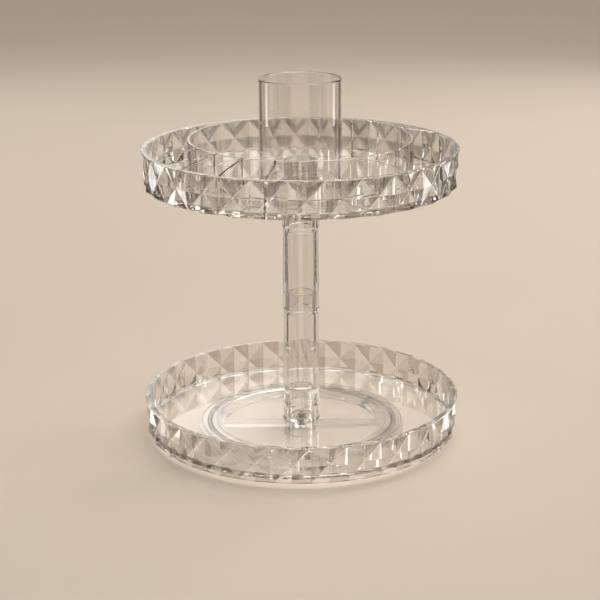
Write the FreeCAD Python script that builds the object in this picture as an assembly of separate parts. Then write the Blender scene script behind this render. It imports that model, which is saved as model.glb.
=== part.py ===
"""Two-tier rotating vanity organizer in clear plastic.

A faceted lower tray turns on a ball-bearing base.  A push-fit column of tapered tubes carries a faceted
upper tray with compartments, and an open cup for brushes stands in its middle.  Millimetres, +Z up, origin on
the table under the pivot.  Angles are in degrees, counted from +X towards +Y.
"""
import FreeCAD, Part
import math
import os

# Turntable base
FOOT_PAD_COUNT = 6
FOOT_PAD_RADIUS = 5.0
FOOT_PAD_HEIGHT = 1.2
FOOT_PAD_SINK = 0.6
FOOT_PAD_PLAY = 0.1
BASE_THICKNESS = 2.8
BASE_INNER_MARGIN = 10.9
BASE_OUTER_MARGIN = 7.5
CROSSBAR_WIDTH = 9.0
HUB_RADIUS = 8.0

# Ball bearing
BALL_COUNT = 6
BALL_PHASE = -20.0
BALL_RADIUS = 2.0
BALL_CIRCLE_RADIUS = 69.5
RACE_DEPTH = 1.2
RACE_CLEARANCE = 0.15
RACE_BACKING = 0.3
RACE_RIB_WIDTH = 11.5
CAGE_WIDTH = 9.0
CAGE_PLAY = 0.4

# Pivot screw and washer
SCREW_RADIUS = 2.0
SCREW_HEAD_RADIUS = 3.1
SCREW_HEAD_HEIGHT = 2.6
SCREW_HEAD_ROUNDING = 0.9
SCREW_SLOT_WIDTH = 0.8
SCREW_SLOT_LENGTH = 3.6
SCREW_SLOT_DEPTH = 1.3
SCREW_TIP_GAP = 0.3
SCREW_THREAD_PLAY = 0.05
HUB_FLOOR = 1.0
WASHER_RADIUS = 4.6
WASHER_THICKNESS = 0.8
PIVOT_PLAY = 0.08
PIVOT_GAP = 0.3

# Walls of both trays, faceted outside under a smooth rim
FACET_COUNT = 28
FACET_DEPTH = 2.0
RIM_FLANGE_HEIGHT = 0.8
RIM_FLANGE_REACH = 0.2
TRAY_TAPER = 0.7
TRAY_WALL = 2.0
TRAY_CORNER_RADIUS = 1.5

# Lower tray
LOWER_TRAY_RADIUS = 117.2
LOWER_WALL_HEIGHT = 27.1
LOWER_FLOOR_THICKNESS = 2.6
LOWER_SKIRT_DEPTH = 2.8
LOWER_FACET_PHASE = -93.5

# Column and its push-fit joints
COLUMN_FOOT_RADIUS = 13.7
COLUMN_TOP_RADIUS = 12.8
COLUMN_BORE_RADIUS = 9.7
SPIGOT_RADIUS = 10.2
SPIGOT_HEIGHT = 13.1
SPIGOT_BORE_RADIUS = 8.7
SHOULDER_THICKNESS = 3.0
SOCKET_PLAY = 0.15
SOCKET_END_GAP = 0.5
SEAM_GAP = 0.1
SEAM_CHAMFER = 0.5
BOSS_HEIGHT = 11.5
LOWER_TUBE_LENGTH = 74.3
UPPER_TUBE_LENGTH = 62.8
COLLAR_LENGTH = 32.4
COLLAR_TOP_RADIUS = 14.2

# Upper tray
UPPER_TRAY_RADIUS = 114.4
UPPER_WALL_HEIGHT = 27.1
UPPER_FLOOR_THICKNESS = 3.6
UPPER_FACET_PHASE = -88.0
RING_RADIUS = 80.5
RING_WALL = 2.2
RING_RISE = 6.3
DIVIDER_WALL = 2.0
DIVIDER_START = 26.0
DIVIDER_STEP = 17.3
DIVIDERS_PER_GROUP = 4
DIVIDER_GROUPS = 2

# Hub cap in the upper tray
CAP_RADIUS = 12.2
CAP_HEIGHT = 14.2
CAP_ROOF = 2.2
CAP_PLUG_DEPTH = 8.0
CAP_PLUG_WALL = 1.8
CAP_EDGE_CHAMFER = 1.0
FLUTE_COUNT = 18
FLUTE_RADIUS = 1.4
FLUTE_DEPTH = 0.6

# Brush cup
CUP_RADIUS = 30.0
CUP_WALL = 2.2
CUP_HEIGHT = 72.6
CUP_EDGE_ROUNDING = 0.6
CUP_PLAY = 0.4
CUP_SEAT_GAP = 0.1
CUP_RIB_WALL = 1.4
CUP_RIB_HEIGHT = 1.2

# How far tools reach past what they cut, and walls into what they join
OVERRUN = 1.0

# Radii that follow from the ball circle
BASE_INNER_RADIUS = BALL_CIRCLE_RADIUS - BASE_INNER_MARGIN
BASE_OUTER_RADIUS = BALL_CIRCLE_RADIUS + BASE_OUTER_MARGIN
RACE_TUBE_RADIUS = BALL_RADIUS + RACE_CLEARANCE

# Heights from the table upwards
BASE_BOTTOM_Z = FOOT_PAD_HEIGHT - FOOT_PAD_SINK
BASE_TOP_Z = BASE_BOTTOM_Z + BASE_THICKNESS
BALL_Z = BASE_TOP_Z - RACE_DEPTH + RACE_TUBE_RADIUS
RACE_RIB_Z = BALL_Z + RACE_TUBE_RADIUS - RACE_DEPTH
LOWER_FLOOR_BOTTOM_Z = RACE_RIB_Z + RACE_DEPTH + RACE_BACKING
LOWER_FLOOR_Z = LOWER_FLOOR_BOTTOM_Z + LOWER_FLOOR_THICKNESS
LOWER_EDGE_Z = LOWER_FLOOR_BOTTOM_Z - LOWER_SKIRT_DEPTH
BOSS_TOP_Z = LOWER_FLOOR_Z + BOSS_HEIGHT
LOWER_TUBE_Z = BOSS_TOP_Z + SEAM_GAP
LOWER_TUBE_TOP_Z = LOWER_TUBE_Z + LOWER_TUBE_LENGTH
UPPER_TUBE_Z = LOWER_TUBE_TOP_Z + SEAM_GAP
UPPER_TUBE_TOP_Z = UPPER_TUBE_Z + UPPER_TUBE_LENGTH
COLLAR_Z = UPPER_TUBE_TOP_Z + SEAM_GAP
UPPER_EDGE_Z = COLLAR_Z + COLLAR_LENGTH
UPPER_FLOOR_Z = UPPER_EDGE_Z + UPPER_FLOOR_THICKNESS
UPPER_RIM_Z = UPPER_EDGE_Z + UPPER_WALL_HEIGHT
RING_TOP_Z = UPPER_RIM_Z + RING_RISE

Z_AXIS = FreeCAD.Vector(0, 0, 1)
ORIGIN = FreeCAD.Vector(0, 0, 0)
FULL_TURN = 360.0


def at_height(z):
    """Point on the pivot axis at a height."""
    return FreeCAD.Vector(0, 0, z)


def polar(radius, angle, z):
    """Point given by its distance from the pivot axis, its angle and its height."""
    turn = math.radians(angle)
    return FreeCAD.Vector(radius * math.cos(turn), radius * math.sin(turn), z)


def disc(radius, low, high):
    """Upright cylinder about the pivot axis between two heights."""
    return Part.makeCylinder(radius, high - low, at_height(low))


def tube(outer, inner, low, high):
    """Upright straight tube about the pivot axis between two heights."""
    return disc(outer, low, high).cut(disc(inner, low - OVERRUN, high + OVERRUN))


def turned(profile):
    """Solid of revolution of a closed outline of (radius, height) points about the pivot axis."""
    points = [FreeCAD.Vector(radius, 0, z) for radius, z in profile]
    outline = Part.makePolygon(points + points[:1])
    return Part.Face(outline).revolve(ORIGIN, Z_AXIS, FULL_TURN)


def evenly(count, phase):
    """Angles of a ring of copies, the first one at the phase."""
    return [phase + FULL_TURN * index / count for index in range(count)]


def race_groove():
    """Ring-shaped room for the rolling balls, taken from both races."""
    return Part.makeTorus(BALL_CIRCLE_RADIUS, RACE_TUBE_RADIUS, at_height(BALL_Z))


def faceted_drum(radius, low, height, phase):
    """Closed drum whose side is a lattice of pyramids.

    Each pitch holds a whole diamond, whose four facets rise to a point at half height, and half diamonds at
    the upper and lower edge, whose two facets rise to a ridge end on the edge.  The lattice lines between
    the diamonds are the valleys.  The side tapers down to the lower edge.

    Args:
        radius: Radius of the ridge ends on the upper edge.
        low: Height of the lower edge.
        height: Height of the side.
        phase: Angle of the first lattice crossing.
    """
    middle = low + height / 2
    high = low + height
    point_radius = radius - TRAY_TAPER / 2
    edge_radii = {low: radius - TRAY_TAPER, high: radius}
    pitch = FULL_TURN / FACET_COUNT
    faces = []
    edges = {low: [], high: []}
    for index in range(FACET_COUNT):
        left = phase + pitch * index
        centre = left + pitch / 2
        right = left + pitch
        point = polar(point_radius, centre, middle)
        crossings = [polar(point_radius - FACET_DEPTH, angle, middle) for angle in (left, right)]
        for edge, rim_points in edges.items():
            tip = polar(edge_radii[edge] - FACET_DEPTH, centre, edge)
            ridges = [polar(edge_radii[edge], angle, edge) for angle in (left, right)]
            rim_points.extend((ridges[0], tip))
            for crossing, ridge in zip(crossings, ridges):
                faces.append((point, tip, crossing))
                faces.append((tip, crossing, ridge))
    faces.extend(edges.values())
    sheets = [Part.Face(Part.makePolygon(list(face) + [face[0]])) for face in faces]
    shell = Part.makeShell(sheets)
    shell.sewShape()
    drum = Part.makeSolid(shell)
    if drum.Volume < 0:
        drum.reverse()
    return drum


def tray_drum(radius, low, height, phase):
    """Closed drum of a tray: the faceted side under a smooth rim flange of the given radius."""
    rim = low + height
    shoulder = rim - RIM_FLANGE_HEIGHT
    facets = faceted_drum(radius - RIM_FLANGE_REACH, low, shoulder - low, phase)
    return facets.fuse(disc(radius, shoulder, rim))


def wall_face(radius):
    """Radius of the smooth inner face of a tray's wall, given the radius of its rim."""
    return radius - RIM_FLANGE_REACH - FACET_DEPTH - TRAY_WALL


def tray_cavity(radius, floor, rim):
    """Room inside a tray, rounded where the wall meets the floor."""
    room = disc(wall_face(radius), floor, rim + OVERRUN)
    floor_edge = [edge for edge in room.Edges if edge.BoundBox.ZMax < floor + TRAY_CORNER_RADIUS]
    return room.makeFillet(TRAY_CORNER_RADIUS, floor_edge)


def spigot(low):
    """Male end that rises from a shoulder into the socket above it."""
    return tube(SPIGOT_RADIUS, SPIGOT_BORE_RADIUS, low - SHOULDER_THICKNESS, low + SPIGOT_HEIGHT)


def socket(low):
    """Room for a spigot in the lower end of a column piece."""
    return disc(SPIGOT_RADIUS + SOCKET_PLAY, low - OVERRUN, low + SPIGOT_HEIGHT + SOCKET_END_GAP)


def column_tube(low, length):
    """Tapered tube with a socket below and a spigot on its upper shoulder."""
    high = low + length
    body = turned([
        (0, low),
        (COLUMN_FOOT_RADIUS - SEAM_CHAMFER, low),
        (COLUMN_FOOT_RADIUS, low + SEAM_CHAMFER),
        (COLUMN_TOP_RADIUS, high - SEAM_CHAMFER),
        (COLUMN_TOP_RADIUS - SEAM_CHAMFER, high),
        (0, high),
    ])
    bore = disc(COLUMN_BORE_RADIUS, low, high - SHOULDER_THICKNESS)
    outlet = disc(SPIGOT_BORE_RADIUS, low, high + OVERRUN)
    return body.cut(bore.fuse(socket(low)).fuse(outlet)).fuse(spigot(high)).removeSplitter()


def pad_ring(radius):
    """Ring of short cylinders under the base ring: the foot pads, or the recesses that they sit in."""
    ring_radius = (BASE_INNER_RADIUS + BASE_OUTER_RADIUS) / 2
    return [Part.makeCylinder(radius, FOOT_PAD_HEIGHT, polar(ring_radius, angle, 0))
            for angle in evenly(FOOT_PAD_COUNT, BALL_PHASE)]


def turntable_base():
    """Ring with the lower ball race, a crossbar, and the hub that takes the pivot screw."""
    ring = tube(BASE_OUTER_RADIUS, BASE_INNER_RADIUS, BASE_BOTTOM_Z, BASE_TOP_Z)
    span = 2 * BASE_INNER_RADIUS + OVERRUN
    corner = FreeCAD.Vector(-span / 2, -CROSSBAR_WIDTH / 2, BASE_BOTTOM_Z)
    crossbar = Part.makeBox(span, CROSSBAR_WIDTH, BASE_THICKNESS, corner)
    hub_top = LOWER_FLOOR_BOTTOM_Z - PIVOT_GAP
    hub = disc(HUB_RADIUS, BASE_BOTTOM_Z, hub_top)
    screw_hole = disc(SCREW_RADIUS + SCREW_THREAD_PLAY, BASE_BOTTOM_Z + HUB_FLOOR, hub_top + OVERRUN)
    pad_seats = pad_ring(FOOT_PAD_RADIUS + FOOT_PAD_PLAY)
    return ring.multiFuse([crossbar, hub]).cut(pad_seats + [race_groove(), screw_hole]).removeSplitter()


def ball_cage():
    """Flat ring between the races, with a pocket for each ball."""
    low = BASE_TOP_Z + CAGE_PLAY
    high = RACE_RIB_Z - CAGE_PLAY
    ring = tube(BALL_CIRCLE_RADIUS + CAGE_WIDTH / 2, BALL_CIRCLE_RADIUS - CAGE_WIDTH / 2, low, high)
    pockets = []
    for angle in evenly(BALL_COUNT, BALL_PHASE):
        foot = polar(BALL_CIRCLE_RADIUS, angle, low - OVERRUN)
        pockets.append(Part.makeCylinder(RACE_TUBE_RADIUS, high - low + 2 * OVERRUN, foot))
    return ring.cut(pockets)


def bearing_balls():
    """Balls that carry the lower tray, evenly spaced round the race."""
    return [Part.makeSphere(BALL_RADIUS, polar(BALL_CIRCLE_RADIUS, angle, BALL_Z))
            for angle in evenly(BALL_COUNT, BALL_PHASE)]


def pivot_washer():
    """Washer that runs on the tray floor under the screw head."""
    low = LOWER_FLOOR_Z + PIVOT_GAP
    return tube(WASHER_RADIUS, SCREW_RADIUS + SCREW_THREAD_PLAY, low, low + WASHER_THICKNESS)


def pivot_screw():
    """Round-headed screw with a cross slot, from the washer down into the hub."""
    tip = BASE_BOTTOM_Z + HUB_FLOOR + SCREW_TIP_GAP
    seat = LOWER_FLOOR_Z + PIVOT_GAP + WASHER_THICKNESS
    top = seat + SCREW_HEAD_HEIGHT
    head = disc(SCREW_HEAD_RADIUS, seat, top)
    upper_edge = [edge for edge in head.Edges if edge.BoundBox.ZMin > seat]
    head = head.makeFillet(SCREW_HEAD_ROUNDING, upper_edge)
    corner = FreeCAD.Vector(-SCREW_SLOT_LENGTH / 2, -SCREW_SLOT_WIDTH / 2, top - SCREW_SLOT_DEPTH)
    slot = Part.makeBox(SCREW_SLOT_LENGTH, SCREW_SLOT_WIDTH, SCREW_SLOT_DEPTH + OVERRUN, corner)
    cross_slot = slot.copy()
    cross_slot.rotate(ORIGIN, Z_AXIS, FULL_TURN / 4)
    return head.fuse(disc(SCREW_RADIUS, tip, seat)).cut([slot, cross_slot]).removeSplitter()


def lower_tray():
    """Faceted tray with the upper ball race under its floor, and the boss and spigot for the column."""
    rim = LOWER_EDGE_Z + LOWER_WALL_HEIGHT
    drum = tray_drum(LOWER_TRAY_RADIUS, LOWER_EDGE_Z, LOWER_WALL_HEIGHT, LOWER_FACET_PHASE)
    under_room = disc(wall_face(LOWER_TRAY_RADIUS), LOWER_EDGE_Z - OVERRUN, LOWER_FLOOR_BOTTOM_Z)
    rib_inner = BALL_CIRCLE_RADIUS - RACE_RIB_WIDTH / 2
    rib_outer = BALL_CIRCLE_RADIUS + RACE_RIB_WIDTH / 2
    rib = tube(rib_outer, rib_inner, RACE_RIB_Z, LOWER_FLOOR_BOTTOM_Z + LOWER_FLOOR_THICKNESS / 2)
    boss = turned([
        (0, LOWER_FLOOR_BOTTOM_Z),
        (COLUMN_FOOT_RADIUS, LOWER_FLOOR_BOTTOM_Z),
        (COLUMN_TOP_RADIUS, BOSS_TOP_Z - SEAM_CHAMFER),
        (COLUMN_TOP_RADIUS - SEAM_CHAMFER, BOSS_TOP_Z),
        (0, BOSS_TOP_Z),
    ])
    well = disc(SPIGOT_BORE_RADIUS, LOWER_FLOOR_Z, BOSS_TOP_Z + SPIGOT_HEIGHT + OVERRUN)
    pivot_hole = disc(SCREW_RADIUS + PIVOT_PLAY, LOWER_FLOOR_BOTTOM_Z - OVERRUN, LOWER_FLOOR_Z + OVERRUN)
    shell = drum.cut(tray_cavity(LOWER_TRAY_RADIUS, LOWER_FLOOR_Z, rim)).cut(under_room)
    solid = shell.multiFuse([rib, boss, spigot(BOSS_TOP_Z)])
    return solid.cut([well, pivot_hole, race_groove()]).removeSplitter()


def divider(angle):
    """Radial wall from the inner ring to the tray wall, its top sloping down to the rim."""
    inner = RING_RADIUS
    meeting = wall_face(UPPER_TRAY_RADIUS)
    outer = meeting + TRAY_WALL / 2
    slope = (RING_TOP_Z - UPPER_RIM_Z) / (meeting - inner)
    floor = UPPER_FLOOR_Z - UPPER_FLOOR_THICKNESS / 2
    outline = [
        (inner, floor),
        (outer, floor),
        (outer, UPPER_RIM_Z - slope * (outer - meeting)),
        (inner, RING_TOP_Z),
    ]
    points = [FreeCAD.Vector(radius, -DIVIDER_WALL / 2, z) for radius, z in outline]
    wall = Part.Face(Part.makePolygon(points + points[:1])).extrude(FreeCAD.Vector(0, DIVIDER_WALL, 0))
    wall.rotate(ORIGIN, Z_AXIS, angle)
    return wall


def divider_angles():
    """Angles of all radial dividers, in opposite groups."""
    return [DIVIDER_START + group + DIVIDER_STEP * index
            for group in evenly(DIVIDER_GROUPS, 0)
            for index in range(DIVIDERS_PER_GROUP)]


def upper_tray():
    """Faceted tray with an inner ring, radial dividers, a rib that centres the cup, and the collar."""
    drum = tray_drum(UPPER_TRAY_RADIUS, UPPER_EDGE_Z, UPPER_WALL_HEIGHT, UPPER_FACET_PHASE)
    shell = drum.cut(tray_cavity(UPPER_TRAY_RADIUS, UPPER_FLOOR_Z, UPPER_RIM_Z))
    rooted = UPPER_FLOOR_Z - UPPER_FLOOR_THICKNESS / 2
    ring = tube(RING_RADIUS + RING_WALL / 2, RING_RADIUS - RING_WALL / 2, rooted, RING_TOP_Z)
    rib_radius = CUP_RADIUS - CUP_WALL - CUP_PLAY
    rib = tube(rib_radius, rib_radius - CUP_RIB_WALL, rooted, UPPER_FLOOR_Z + CUP_RIB_HEIGHT)
    collar = turned([
        (0, COLLAR_Z),
        (COLUMN_FOOT_RADIUS - SEAM_CHAMFER, COLLAR_Z),
        (COLUMN_FOOT_RADIUS, COLLAR_Z + SEAM_CHAMFER),
        (COLLAR_TOP_RADIUS, rooted),
        (0, rooted),
    ])
    bore = disc(COLUMN_BORE_RADIUS, COLLAR_Z - OVERRUN, UPPER_FLOOR_Z + OVERRUN)
    walls = [ring, rib, collar] + [divider(angle) for angle in divider_angles()]
    return shell.multiFuse(walls).cut([bore, socket(COLLAR_Z)]).removeSplitter()


def hub_cap():
    """Fluted hollow cap whose plug closes the top of the collar."""
    low = UPPER_FLOOR_Z + SEAM_GAP
    high = low + CAP_HEIGHT
    plug_radius = COLUMN_BORE_RADIUS - SOCKET_PLAY
    plug_low = low - CAP_PLUG_DEPTH
    knob = turned([
        (0, low),
        (CAP_RADIUS, low),
        (CAP_RADIUS, high - CAP_EDGE_CHAMFER),
        (CAP_RADIUS - CAP_EDGE_CHAMFER, high),
        (0, high),
    ])
    flute_axis = CAP_RADIUS + FLUTE_RADIUS - FLUTE_DEPTH
    flute_length = CAP_HEIGHT + 2 * OVERRUN
    flutes = [Part.makeCylinder(FLUTE_RADIUS, flute_length, polar(flute_axis, angle, low - OVERRUN))
              for angle in evenly(FLUTE_COUNT, 0)]
    plug = disc(plug_radius, plug_low, low)
    core = disc(plug_radius - CAP_PLUG_WALL, plug_low - OVERRUN, high - CAP_ROOF)
    return knob.cut(flutes).fuse(plug).cut(core).removeSplitter()


def brush_cup():
    """Open tube with rounded edges that stands round the hub cap."""
    low = UPPER_FLOOR_Z + CUP_SEAT_GAP
    wall = tube(CUP_RADIUS, CUP_RADIUS - CUP_WALL, low, low + CUP_HEIGHT)
    rims = [edge for edge in wall.Edges if edge.BoundBox.ZLength < CUP_EDGE_ROUNDING]
    return wall.makeFillet(CUP_EDGE_ROUNDING, rims)


def main():
    """Builds every piece and writes it under its own name."""
    nodes = {
        "foot_pads": Part.makeCompound(pad_ring(FOOT_PAD_RADIUS)),
        "turntable_base": turntable_base(),
        "bearing_balls": Part.makeCompound(bearing_balls()),
        "ball_cage": ball_cage(),
        "pivot_screw": pivot_screw(),
        "pivot_washer": pivot_washer(),
        "lower_tray": lower_tray(),
        "lower_column_tube": column_tube(LOWER_TUBE_Z, LOWER_TUBE_LENGTH),
        "upper_column_tube": column_tube(UPPER_TUBE_Z, UPPER_TUBE_LENGTH),
        "upper_tray": upper_tray(),
        "hub_cap": hub_cap(),
        "brush_cup": brush_cup(),
    }
    os.makedirs("parts", exist_ok=True)
    for name, shape in nodes.items():
        shape.exportStep(f"parts/{name}.step")
        print(f"{name}: {len(shape.Solids)} solids, {shape.Volume:.0f} mm3, valid {shape.isValid()}")


main()
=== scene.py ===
"""Looks of a clear two-tier turning organizer: its meshes, finishes, light and camera.

Lengths are metres in the part's own frame, with +Z up and the origin on the table under the pivot.  Angles
are radians, counted from +X towards +Y.  A surface is worked out as whole arrays: a profile of (radius,
height) points carried round the pivot axis, or a chessboard of points on a drum.
"""
from __future__ import annotations

import logging
import math
from dataclasses import dataclass, replace
from enum import Enum
from typing import Mapping, Sequence, Union

import bpy
import numpy as np
from mathutils import Matrix, Vector


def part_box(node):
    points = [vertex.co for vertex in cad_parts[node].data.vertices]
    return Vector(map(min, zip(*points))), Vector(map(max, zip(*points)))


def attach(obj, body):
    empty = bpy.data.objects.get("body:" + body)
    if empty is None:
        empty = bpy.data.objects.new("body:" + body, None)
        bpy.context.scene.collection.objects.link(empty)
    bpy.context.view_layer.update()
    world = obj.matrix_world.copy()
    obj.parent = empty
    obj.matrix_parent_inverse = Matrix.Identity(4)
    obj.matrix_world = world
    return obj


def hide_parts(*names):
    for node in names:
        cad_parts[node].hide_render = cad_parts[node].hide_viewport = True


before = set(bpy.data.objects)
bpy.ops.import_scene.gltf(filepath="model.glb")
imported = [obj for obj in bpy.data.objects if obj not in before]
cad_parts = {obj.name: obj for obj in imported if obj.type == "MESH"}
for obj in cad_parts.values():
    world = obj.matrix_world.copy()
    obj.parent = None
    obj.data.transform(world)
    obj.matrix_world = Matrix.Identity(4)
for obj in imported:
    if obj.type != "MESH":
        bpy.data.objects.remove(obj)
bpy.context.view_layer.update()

Array = np.ndarray
Corner = tuple[float, float, float]
Place = tuple[float, float, float]
Colour = tuple[float, float, float]
Span = tuple[float, float]

LOG = logging.getLogger("organizer")
FULL_TURN = 2.0 * math.pi
WELD_LENGTH = 1.0e-7
LEAST_HALF_ANGLE = 1.0e-3
STRAIGHT_MARGIN = 1.0e-6
LEAST_LENGTH = 1.0e-9
SHARP_ANGLE = math.radians(32.0)
# Face attribute that holds each face's share of painted shade.
PAINTED_SHADE = "painted_facet_shade"
DAYLIGHT: Colour = (1.0, 0.98, 0.95)
WARM_LIGHT: Colour = (1.0, 0.97, 0.93)
PANEL_LIGHT: Colour = (1.0, 0.98, 0.96)
# Dark brown painted shade for the stripes of the hub cap flutes.
FLUTE_PAINTED_SHADE: Colour = (0.22, 0.15, 0.11)
BASE_HAZE = 0.12
SCREW_BRIGHT: Colour = (0.60, 0.54, 0.48)
SCREW_STAINED: Colour = (0.42, 0.37, 0.32)
SCREW_ROUGHNESS = 0.5
WASHER_ROUGHNESS = 0.2


class Body(Enum):
    """Moving bodies that the pieces ride on."""

    BASE = "base"
    BEARING = "bearing"
    CAROUSEL = "carousel"
    CUP = "cup"


# Arrays that become meshes


def arc_corners(centre: Span, radius: float, start: float, end: float, steps: int) -> list[Corner]:
    """Points of a circular arc, as outline corners without rounding.

    Args:
        centre: Radius and height of the arc's centre.
        radius: Radius of the arc.
        start: First angle, counted from outwards to upwards.
        end: Last angle.
        steps: Number of chords.

    Returns:
        Corners centre + radius * (cos, sin) at evenly spread angles.
    """
    angles = np.linspace(start, end, steps + 1)
    across = centre[0] + radius * np.cos(angles)
    height = centre[1] + radius * np.sin(angles)
    return [(r, z, 0.0) for r, z in zip(across, height)]


def rounded_outline(corners: Sequence[Corner], closed: bool = False, steps: int = 5) -> Array:
    """Outline whose corners are arcs.

    A corner with rounding q, whose two sides open by 2a, is cut back by q / tan(a) along both sides.  The arc
    between the two cuts is the even-angle mix of the two spokes from its centre.

    Args:
        corners: Radius, height and rounding of each corner.
        closed: Whether the last corner joins the first.
        steps: Chords in each arc.

    Returns:
        Points of the outline, one (radius, height) row each, without repeats.
    """
    table = np.array(corners, dtype=float)
    spot = table[:, :2]
    rounding = table[:, 2].copy()
    before = np.roll(spot, 1, axis=0) - spot
    after = np.roll(spot, -1, axis=0) - spot
    before /= np.linalg.norm(before, axis=1, keepdims=True)
    after /= np.linalg.norm(after, axis=1, keepdims=True)
    if not closed:
        rounding[[0, -1]] = 0.0
    half = np.arccos(np.clip((before * after).sum(axis=1), -1.0, 1.0)) / 2.0
    half = np.clip(half, LEAST_HALF_ANGLE, math.pi / 2.0 - STRAIGHT_MARGIN)
    cut = (rounding / np.tan(half))[:, None]
    middle = before + after
    middle /= np.maximum(np.linalg.norm(middle, axis=1, keepdims=True), LEAST_LENGTH)
    centre = spot + middle * (rounding / np.sin(half))[:, None]
    first = spot + before * cut - centre
    last = spot + after * cut - centre
    turn = (math.pi - 2.0 * half)[:, None, None]
    share = np.linspace(0.0, 1.0, steps + 1)[None, :, None]
    spokes = np.sin((1.0 - share) * turn) * first[:, None] + np.sin(share * turn) * last[:, None]
    points = (centre[:, None] + spokes / np.sin(turn)).reshape(-1, 2)
    gaps = np.linalg.norm(points - np.roll(points, 1, axis=0), axis=1)
    gaps[0] = gaps[0] if closed else 1.0
    return points[gaps > WELD_LENGTH]


def even_turns(count: int, phase: float = 0.0) -> Array:
    """Angles that divide a full turn evenly, the first one at the phase."""
    return phase + FULL_TURN * np.arange(count) / count


def carried_round(profile: Array, turns: Array) -> Array:
    """Profile carried round the pivot axis: x = r cos t, y = r sin t, z = z.

    Args:
        profile: Rows of (radius, height).
        turns: One angle t for each copy of the profile, or one for each point of each copy.

    Returns:
        Grid of points, one row for each copy.
    """
    radius, height = profile[:, 0], profile[:, 1]
    angle = turns[:, None] if turns.ndim == 1 else turns
    x = radius * np.cos(angle)
    return np.stack([x, radius * np.sin(angle), np.broadcast_to(height, x.shape)], axis=-1)


class MeshDraft:
    """Points, faces and creases of one piece, gathered patch by patch and welded into one mesh."""

    def __init__(self) -> None:
        """Starts with nothing in it."""
        self._points: list[Array] = []
        self._quads: list[Array] = [np.zeros((0, 4), int)]
        self._quad_painted_shades: list[Array] = [np.zeros(0)]
        self._others: list[Sequence[int]] = []
        self._painted_shades: list[float] = []
        self._creases: list[Array] = [np.zeros((0, 2), int)]
        self._weights: list[Array] = [np.zeros(0)]
        self._count = 0

    def add_points(self, points: Array) -> Array:
        """Adds an array of points and returns their indices in the same shape."""
        flat = points.reshape(-1, 3)
        index = np.arange(self._count, self._count + len(flat)).reshape(points.shape[:-1])
        self._points.append(flat)
        self._count += len(flat)
        return index

    def add_quads(self, rows: Array, painted_shades: Array | None = None) -> None:
        """Joins neighbours of an index grid into faces, each with its share of painted shade."""
        quads = np.stack([rows[:-1, :-1], rows[1:, :-1], rows[1:, 1:], rows[:-1, 1:]], axis=-1)
        quads = quads.reshape(-1, 4)
        self._quads.append(quads)
        self._quad_painted_shades.append(np.zeros(len(quads)) if painted_shades is None else painted_shades.reshape(-1))

    def add_grid(self, points: Array, close_rows: bool = False, close_columns: bool = False,
                 painted_shades: Array | None = None) -> Array:
        """Adds a grid of points with its faces.

        The face normal is the row direction crossed with the column direction.

        Args:
            points: Grid of points.
            close_rows: Whether the last row joins the first.
            close_columns: Whether the last column joins the first.
            painted_shades: Share of painted shade of each face, or None for no painted shade.

        Returns:
            Indices of the points.
        """
        index = self.add_points(points)
        rows = np.concatenate([index, index[:1]]) if close_rows else index
        rows = np.concatenate([rows, rows[:, :1]], axis=1) if close_columns else rows
        self.add_quads(rows, painted_shades)
        return index

    def add_faces(self, faces: Sequence[Sequence[int]], painted_shades: Sequence[float] | None = None) -> None:
        """Adds faces with any number of corners, each with its share of painted shade."""
        self._others.extend(faces)
        self._painted_shades.extend([0.0] * len(faces) if painted_shades is None else painted_shades)

    def crease(self, first: Array, second: Array, weight: float = 1.0) -> None:
        """Marks the edges between two index arrays as edges that a bevel breaks."""
        pairs = np.stack([np.ravel(first), np.ravel(second)], axis=-1)
        self._creases.append(pairs)
        self._weights.append(np.full(len(pairs), weight))

    def mesh(self, name: str) -> bpy.types.Mesh:
        """Welds equal points, drops faces that collapse and writes the mesh.

        Args:
            name: Name of the mesh.

        Returns:
            Smooth mesh, with the shares of painted shade on its faces and bevel weights on the marked edges.
        """
        points = np.concatenate(self._points)
        keys = np.round(points / WELD_LENGTH).astype(np.int64)
        _, kept, place = np.unique(keys, axis=0, return_index=True, return_inverse=True)
        place = place.reshape(-1)
        quads = place[np.concatenate(self._quads)]
        repeated = quads == np.roll(quads, -1, axis=1)
        unfolded = repeated.sum(axis=1) == 0
        folded = repeated.sum(axis=1) == 1
        whole = quads[unfolded]
        thirds = quads[folded][~repeated[folded]].reshape(-1, 3)
        others = [place[np.asarray(face)].tolist() for face in self._others]
        mesh = bpy.data.meshes.new(name)
        mesh.from_pydata(points[kept].tolist(), [], whole.tolist() + thirds.tolist() + others)
        mesh.shade_smooth()
        # Painted shade shares, in the order of the faces, go into the face attribute.
        quad_paint_shares = np.concatenate(self._quad_painted_shades)
        painted_shades = np.concatenate([quad_paint_shares[unfolded], quad_paint_shares[folded], self._painted_shades]).astype(np.float32)
        mesh.attributes.new(PAINTED_SHADE, "FLOAT", "FACE").data.foreach_set("value", painted_shades)
        self._weigh_edges(mesh, place, len(kept))
        mesh.set_sharp_from_angle(angle=SHARP_ANGLE)
        return mesh

    def _weigh_edges(self, mesh: bpy.types.Mesh, place: Array, count: int) -> None:
        """Writes the bevel weights of the marked edges, matched by their sorted corner numbers."""
        pairs = np.sort(place[np.concatenate(self._creases)], axis=1)
        if not len(pairs):
            return
        ends = np.zeros(len(mesh.edges) * 2, dtype=np.int64)
        mesh.edges.foreach_get("vertices", ends)
        ends = np.sort(ends.reshape(-1, 2), axis=1)
        edge_keys = ends[:, 0] * count + ends[:, 1]
        marked, order = np.unique(pairs[:, 0] * count + pairs[:, 1], return_index=True)
        found = np.clip(np.searchsorted(marked, edge_keys), 0, len(marked) - 1)
        weights = np.where(marked[found] == edge_keys, np.concatenate(self._weights)[order][found], 0.0)
        attribute = mesh.attributes.new("bevel_weight_edge", "FLOAT", "EDGE")
        attribute.data.foreach_set("value", weights.astype(np.float32))


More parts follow.
